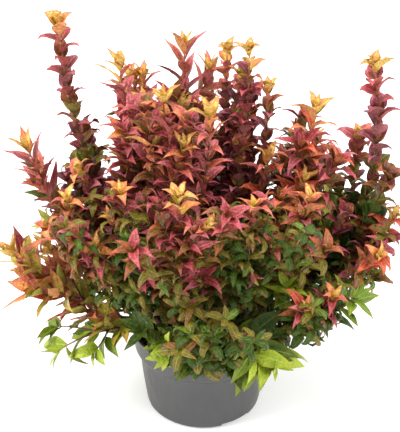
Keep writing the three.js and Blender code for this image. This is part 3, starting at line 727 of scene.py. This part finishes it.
# Spurs of curled habit with their tips below LOW_TIP have at least the haste LOW_HASTE, and the side shoots
# of the canes in LOW_AGEING age faster below their level.
LOW_TIP, LOW_HASTE = 300, 1.5
LOW_AGEING, LOW_AGE_LEVEL, LOW_AGE_RUN = ("right_whip",), 400, 80
AGE_SPREAD, AGE_JITTER = 0.28, 3
SHADE_LEVEL, SHADE_RUN, SHADE_MOST, PLAIN_SHADE = 440, 110, 2.4, 0.25
SETTLED_SHARE = {"leader": 0.0, "side": 0.45, "more": 0.75, "spur": 1.0, "low": 1.0}
SETTLED_RIPEN = 3
# The age, in millimetres from the tip, at which each colour ends. What is older than the last is deep green.
FADES = {
    "whip": dict(gold=14, orange=20, coral=27, crimson=110, burgundy=200, bronze=280, olive=350, green=450),
    "curled": dict(gold=9, orange=19, coral=38, crimson=76, burgundy=96, bronze=140, olive=260, green=345),
    "slender": dict(gold=8, orange=20, coral=48, crimson=85, bronze=128, olive=165, green=260),
    "straight": dict(gold=14, orange=24, coral=36, lime=80, fresh=190, green=330),
    "drooping": dict(lime=60, fresh=150, green=300),
    "edge": dict(gold=26, orange=46, coral=58, citron=125, moss=210, green=330),
    "sunny": dict(gold=12, orange=26, scarlet=62, crimson=88, rust=112, bronze=145, olive=235, green=310),
}
# Masses whose leaves fade as another habit's do, and single shoots with new growth or without it whatever
# their luck, by their cane's name and their own number.
FADES_LIKE = {"left_flank": "slender", "left_edge": "edge", "right_edge": "sunny"}
NEW_GROWTH = {
    ("centre_whip", 1): True, ("right_whip", 1): False, ("right_whip", 2): True, ("left_edge", 2): True,
    ("left_edge", 3): True, ("crown_left", 4): True, ("crown_left", 12): True, ("heart", 6): True,
    ("heart", 14): True, ("heart", 17): True, ("left_shoulder", 13): True, ("front_left", 15): True,
    ("front_right", 4): True, ("right_shoulder", 17): True,
}


def is_settled(shoot):
    """True for a shoot without new growth: as its own entry says, or else each shoot of the front skirt, each
    flat-leaved one, and each whose luck is below the settled share of its kind."""
    name, number = shoot["cane"][0], shoot["number"]
    if (name, number) in NEW_GROWTH:
        return not NEW_GROWTH[name, number]
    flat = shoot["leaves"] != shoot["cane"][4]
    return name == "front_skirt" or flat or shoot["luck"] < SETTLED_SHARE[shoot["kind"]]


settled = np.array([is_settled(s) for s in shoots])
skipped = np.where(settled, [s["skip"] for s in shoots], 0)
leads = np.array([s["kind"] == "leader" for s in shoots])
side_fades = np.isin([s["cane"][0] for s in shoots], LOW_AGEING) & ~leads
flat_leaved = np.array([s["leaves"] != s["cane"][4] for s in shoots])
shoot_size = own_of(LEAF_SIZE) * np.where(flat_leaved, FLAT_SIZE, 1) * np.where(leads, 1, own_of(SIDE_SIZE))
leaf_size = shoot_size[leaf["shoot"]]
low_down = np.array([
    s["line"][2][2] < LOW_TIP and s["kind"] in ("spur", "low") and s["cane"][4] == "curled" for s in shoots])
haste = np.where(low_down, np.maximum(own_of(HASTE), LOW_HASTE), own_of(HASTE))
haste = np.array([s["haste"] for s in shoots]) * haste
# Leaves below SHADE_LEVEL age faster and so take darker colours: partly painted shade.
gloom = np.clip((SHADE_LEVEL - leaf["root"][:, 2]) / SHADE_RUN, 0, SHADE_MOST)
shade = 1 + gloom * np.where(is_habit("whip", "straight", "drooping"), PLAIN_SHADE, 1)
low_age = 1 + np.clip((LOW_AGE_LEVEL - leaf["root"][:, 2]) / LOW_AGE_RUN, 0, 1)
age = (leaf["down"] + skipped[leaf["shoot"]]) * haste[leaf["shoot"]] * shade
age = age * np.where(side_fades[leaf["shoot"]], low_age, 1)
age = age * np.exp(AGE_SPREAD * bell[0]) + AGE_JITTER * bell[1]
colour = np.full(total, "deep", dtype=object)
for habit in FADES:
    names, ends = list(FADES[habit]) + ["deep"], np.array(list(FADES[habit].values()))
    fades = np.array([FADES_LIKE.get(s["cane"][0], s["leaves"]) == habit for s in shoots])
    here = fades[leaf["shoot"]]
    colour[here] = np.array(names, dtype=object)[np.searchsorted(ends, age[here])]

# Each leaf's own measures. New leaves are smaller, and open and curl less; the oldest curled ones shrink and
# curl right up.
grown = np.clip((leaf["order"] + 1) / np.where(settled[leaf["shoot"]], SETTLED_RIPEN, set_of("ripen")), 0, 1)
old = np.clip((age - OLD_AT) / OLD_RUN, 0, 1) * is_habit("curled")
full = NEW_LEAF_SIZE + (1 - NEW_LEAF_SIZE) * grown
length = leaf_size * set_of("length") * full * (0.82 + 0.3 * even[0])
width = leaf_size * set_of("width") * full * (0.84 + 0.3 * even[1]) * (1 - 0.35 * old)
opened = np.radians(10 + (set_of("open") - 10) * grown**0.8 + 6 * bell[2] + 16 * old)
less_curl = own_of(LESS_CURL)[leaf["shoot"]]
curl = np.radians(set_of("curl") * less_curl * (0.55 + 0.45 * grown) + 16 * bell[3] + 110 * old)
along = np.cos(opened)[:, None] * leaf["way"] + np.sin(opened)[:, None] * leaf["out"]
up = np.sin(opened)[:, None] * leaf["way"] - np.cos(opened)[:, None] * leaf["out"]
sky = np.array([0, 0, 1.0]) - along * along[:, 2:3]
up = up * (1 - set_of("upward"))[:, None] + sky * (set_of("upward") * grown)[:, None]
up = up + np.cross(along, up) * (0.22 * bell[4] * grown)[:, None]
up = up - along * (up * along).sum(axis=1, keepdims=True)
up /= np.linalg.norm(up, axis=1, keepdims=True)
leaf_grid = leaf_points(
    leaf["root"], along, up, length=length, width=width, belly=set_of("belly"), curl=curl,
    late=set_of("late") * (1.9 - 0.9 * grown), cup=set_of("cup") + 0.2 * bell[5] - 1.3 * old,
    roll=set_of("roll") + 0.25 * bell[6] - 0.7 * old, wave=set_of("wave") * (0.4 + 1.2 * even[2]),
    bend=0.07 * bell[7], twist=0.35 * bell[8] * grown, phase=2 * np.pi * even[3])

# Colours, each as its blade, its margin and tip, the part by the root, its under side and its midrib. A
# leaf takes a stray colour instead of its own as often as the share here says.
LEAF_COLOURS = {
    "gold": ((0.66, 0.43, 0.085), (0.62, 0.21, 0.08), (0.5, 0.45, 0.045),
        (0.66, 0.43, 0.12), (0.72, 0.52, 0.15)),
    "orange": ((0.66, 0.23, 0.055), (0.64, 0.15, 0.08), (0.58, 0.36, 0.04),
        (0.64, 0.28, 0.12), (0.72, 0.4, 0.14)),
    "coral": ((0.52, 0.1, 0.062), (0.6, 0.15, 0.12), (0.38, 0.125, 0.03),
        (0.52, 0.17, 0.12), (0.62, 0.24, 0.14)),
    "rose": ((0.38, 0.056, 0.072), (0.49, 0.115, 0.13), (0.25, 0.07, 0.038),
        (0.44, 0.13, 0.12), (0.53, 0.18, 0.14)),
    "scarlet": ((0.42, 0.044, 0.024), (0.55, 0.09, 0.042), (0.3, 0.11, 0.016),
        (0.46, 0.15, 0.07), (0.58, 0.22, 0.07)),
    "crimson": ((0.31, 0.032, 0.045), (0.42, 0.07, 0.086), (0.2, 0.065, 0.018),
        (0.34, 0.085, 0.075), (0.42, 0.11, 0.085)),
    "rust": ((0.28, 0.075, 0.02), (0.36, 0.08, 0.034), (0.17, 0.095, 0.012),
        (0.28, 0.115, 0.042), (0.36, 0.16, 0.05)),
    "burgundy": ((0.19, 0.027, 0.038), (0.32, 0.053, 0.07), (0.12, 0.068, 0.015),
        (0.25, 0.07, 0.06), (0.3, 0.08, 0.06)),
    "bronze": ((0.145, 0.078, 0.013), (0.28, 0.07, 0.033), (0.12, 0.115, 0.01),
        (0.22, 0.12, 0.042), (0.28, 0.15, 0.04)),
    "olive": ((0.12, 0.102, 0.01), (0.18, 0.104, 0.018), (0.17, 0.17, 0.013),
        (0.22, 0.175, 0.045), (0.28, 0.24, 0.05)),
    "green": ((0.054, 0.114, 0.01), (0.1, 0.132, 0.012), (0.13, 0.19, 0.013),
        (0.17, 0.205, 0.05), (0.23, 0.28, 0.055)),
    "fresh": ((0.115, 0.205, 0.011), (0.18, 0.225, 0.017), (0.15, 0.26, 0.013),
        (0.2, 0.265, 0.055), (0.28, 0.35, 0.065)),
    "deep": ((0.027, 0.062, 0.006), (0.05, 0.076, 0.008), (0.055, 0.09, 0.008),
        (0.08, 0.11, 0.025), (0.1, 0.13, 0.025)),
    # Mauve is wine red with a bluish-pink tint and a paler margin and tip: partly the leaves' own colour,
    # partly a painted reflection and highlight.
    "mauve": ((0.215, 0.034, 0.052), (0.37, 0.095, 0.12), (0.12, 0.048, 0.022),
        (0.33, 0.12, 0.115), (0.42, 0.15, 0.12)),
    "moss": ((0.165, 0.185, 0.012), (0.23, 0.19, 0.018), (0.17, 0.22, 0.014),
        (0.22, 0.215, 0.05), (0.3, 0.29, 0.06)),
    "citron": ((0.42, 0.38, 0.032), (0.5, 0.29, 0.05), (0.3, 0.34, 0.02),
        (0.42, 0.37, 0.08), (0.56, 0.46, 0.11)),
    "lime": ((0.32, 0.42, 0.024), (0.37, 0.43, 0.03), (0.26, 0.38, 0.018),
        (0.36, 0.42, 0.08), (0.47, 0.52, 0.12)),
}
STRAYS = {
    "orange": ("coral", 0.3), "coral": ("rose", 0.4), "crimson": ("rust", 0.2), "burgundy": ("rust", 0.18),
    "bronze": ("burgundy", 0.25), "olive": ("bronze", 0.25), "green": ("olive", 0.4), "fresh": ("moss", 0.4),
    "deep": ("olive", 0.2),
}
WARM_STRAYS = {
    "rose": ("scarlet", 0.6), "crimson": ("scarlet", 0.22), "coral": ("scarlet", 0.25),
    "burgundy": ("rust", 0.4),
}
WHIP_STRAYS = {"crimson": ("mauve", 0.45), "burgundy": ("mauve", 0.4)}
WARM = ("right_edge", "right_front_flank", "right_skirt", "right_shoulder", "left_edge", "left_front_flank")
warm = np.isin([s["cane"][0] for s in shoots], WARM)[leaf["shoot"]]
mixes = (
    (STRAYS, ~is_habit("drooping"), even[4]),
    (WARM_STRAYS, warm, even[5]),
    (WHIP_STRAYS, is_habit("whip"), even[5]),
)
for strays, chosen, chance in mixes:
    own_colour = colour.copy()
    for own, (stray, share) in strays.items():
        colour[(own_colour == own) & (chance < share) & chosen] = stray


def leaf_material(name, colour, patches, under):
    """Leathery leaf: a waxy upper side with fine puckers, or a dull under side. Over the puckers the colour
    runs from painted shade, mixed with faint patches of another colour, in their hollows to painted light on
    their crests, by less on a bright green."""
    material, tree, shader = new_material(name, colour, 0.62 if under else 0.4)
    shader.inputs["Specular IOR Level"].default_value = 0.12 if under else 0.12 + min(0.18, 0.7 * max(colour))
    puckers = add_noise(tree, 300, 2)
    # dim is the painted shade in the pucker hollows and lit the painted light on their crests.
    dim, lit = (0.66, 1.08) if max(colour) == colour[1] and colour[1] > 0.2 else (0.5, 1.24)
    hollow_shade_and_patch = [dim * c + 0.18 * p for c, p in zip(colour, patches)]
    vary_colour(tree, shader, puckers, hollow_shade_and_patch, [lit * c for c in colour])
    add_bump(tree, shader, puckers, 0.002, 0.9)
    if not under:
        vary_roughness(tree, shader, add_noise(tree, 120, 2), 0.24, 0.42)
    return material


# One run of pieces for each colour. A leaf's rim is a sharp edge, so its two sides are shaded apart.
LEAVES_A_PIECE = 1400
ZONE_NAMES = ("blade", "margin", "heart", "under", "rib")
for name, shades in LEAF_COLOURS.items():
    chosen = np.flatnonzero(colour == name)
    looks = [
        leaf_material(f"leaf_{name}_{zone}", shade, shades[2], zone == "under")
        for zone, shade in zip(ZONE_NAMES, shades)
    ]
    for part, first in enumerate(range(0, len(chosen), LEAVES_A_PIECE)):
        some = chosen[first : first + LEAVES_A_PIECE]
        points = leaf_grid[some].reshape(-1, 3)
        faces = (LEAF_QUADS[None] + len(LEAF_PLACE) * np.arange(len(some))[:, None, None]).reshape(-1, 4)
        piece = make_piece(f"leaves_{name}_{part + 1}", points, faces, looks, np.tile(LEAF_ZONES, len(some)))
        at_end = (LEAF_PLACE % (len(LEAF_ROWS) - 1, len(LEAF_COLUMNS) - 1) == 0).any(axis=1)
        ends = np.empty(2 * len(piece.data.edges), np.int32)
        piece.data.edges.foreach_get("vertices", ends)
        sharp = piece.data.attributes.new("sharp_edge", "BOOLEAN", "EDGE")
        sharp.data.foreach_set("value", np.tile(at_end, len(some))[ends.reshape(-1, 2)].all(axis=1))


# The studio
# A plain pale floor, a soft key light from the upper left, a broad fill from the right, a soft light
# overhead and an even white surround. The camera looks down at the plant as the photographer did. Sizes
# here are in metres.
FLOOR_HALF, FLOOR_LEVEL, FLOOR_GLOW = 9, -0.001, 0.24
SURROUND_STRENGTH = 0.94
LIGHT_AIM = (0, 0, 0.3)
floor_mesh = bpy.data.meshes.new("floor")
corners = [(FLOOR_HALF * x, FLOOR_HALF * y, FLOOR_LEVEL) for x, y in ((-1, -1), (1, -1), (1, 1), (-1, 1))]
floor_mesh.from_pydata(corners, [], [(0, 1, 2, 3)])
floor_paint, _, shader = new_material("floor_paint", (0.9, 0.9, 0.9), 0.8)
shader.inputs["Emission Color"].default_value = (1, 0.995, 0.985, 1)
shader.inputs["Emission Strength"].default_value = FLOOR_GLOW
floor_mesh.materials.append(floor_paint)
floor = bpy.data.objects.new("floor", floor_mesh)
bpy.context.scene.collection.objects.link(floor)


def add_soft_light(name, place, size, power):
    """A round lamp turned to the aim: pitched up from straight down by the arctangent of its way out over
    its way down, then turned to the bearing of that way."""
    lamp = bpy.data.lights.new(name, "AREA")
    lamp.shape, lamp.size, lamp.energy = "DISK", size, power
    light = bpy.data.objects.new(name, lamp)
    bpy.context.scene.collection.objects.link(light)
    light.location = place
    way = np.array(LIGHT_AIM, float) - np.array(place, float)
    pitch = math.atan2(np.hypot(way[0], way[1]), -way[2])
    light.rotation_euler = (pitch, 0, math.atan2(way[1], way[0]) - math.pi / 2)


add_soft_light("key", (-2.4, -0.9, 2.3), 1.6, 98)
add_soft_light("fill", (2.4, -0.9, 1.7), 1.8, 46)
add_soft_light("top", (0.1, 0.3, 3.0), 1.8, 60)

world = bpy.data.worlds.new("studio")
world.use_nodes = True
world.node_tree.nodes["Background"].inputs["Color"].default_value = (1, 1, 1, 1)
world.node_tree.nodes["Background"].inputs["Strength"].default_value = SURROUND_STRENGTH
bpy.context.scene.world = world
bpy.context.scene.view_settings.view_transform = "Standard"

CAMERA_DISTANCE, CAMERA_RISE, CAMERA_PITCH, CAMERA_TURN = 1.33043, 1.05827, 28.683, 0.2247
lens = bpy.data.cameras.new("camera")
lens.lens, lens.sensor_width = 85.0, 36.0
camera = bpy.data.objects.new("camera", lens)
camera.location = (0, -CAMERA_DISTANCE, CAMERA_RISE)
camera.rotation_euler = (math.radians(90 - CAMERA_PITCH), 0, math.radians(CAMERA_TURN))
bpy.context.scene.collection.objects.link(camera)
bpy.context.scene.camera = camera
